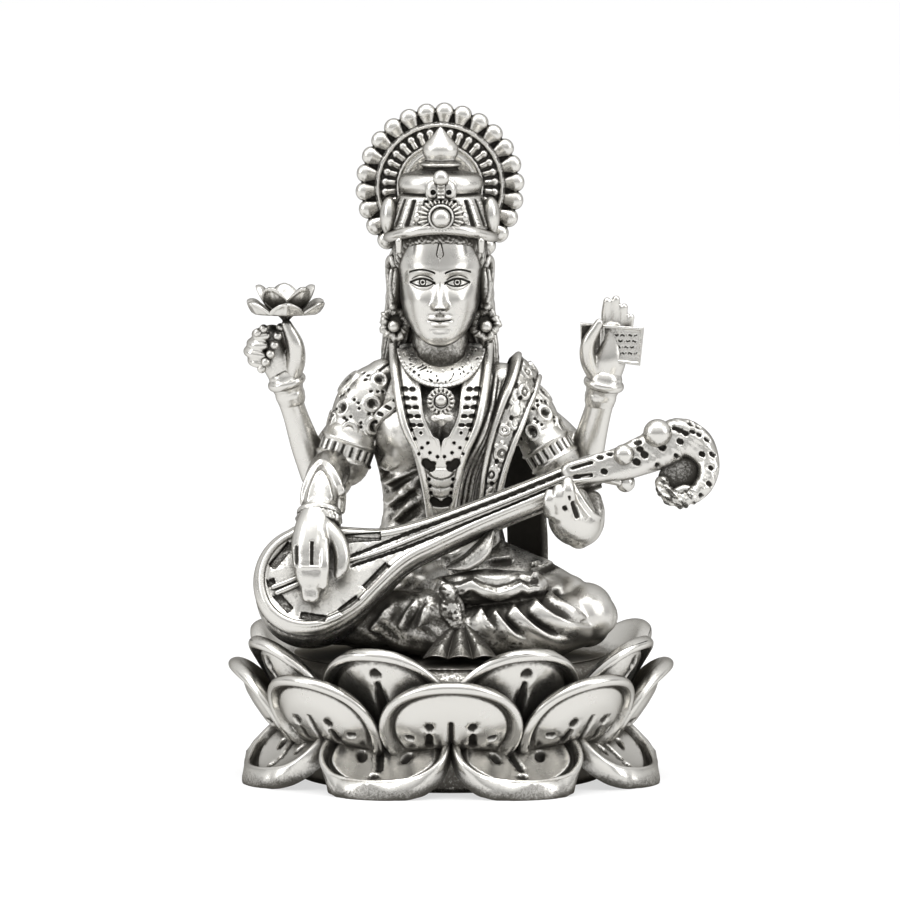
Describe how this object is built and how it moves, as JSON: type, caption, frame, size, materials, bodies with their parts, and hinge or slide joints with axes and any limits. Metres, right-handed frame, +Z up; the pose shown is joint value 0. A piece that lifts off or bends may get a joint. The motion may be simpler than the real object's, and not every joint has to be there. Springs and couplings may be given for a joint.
{
  "type": "saraswati figure",
  "caption": "Cast silver table figure of a seated four-armed goddess playing a veena on a double lotus, with a lobed halo, a lotus and an open book.",
  "frame": {"origin": "middle of the flat underside of the lotus base, on the table plane", "axes": "+Z up through the crown, front of the figure to -Y, +X to the viewer's right when seen from the front"},
  "size_m": [0.0491, 0.0446, 0.0673],
  "materials": {
    "oxidised_silver": "cast sterling silver, blackened in the recesses and polished bright on the high places"
  },
  "bodies": {
    "root": {"saraswati_figure": "oxidised_silver"}
  },
  "joints": []
}
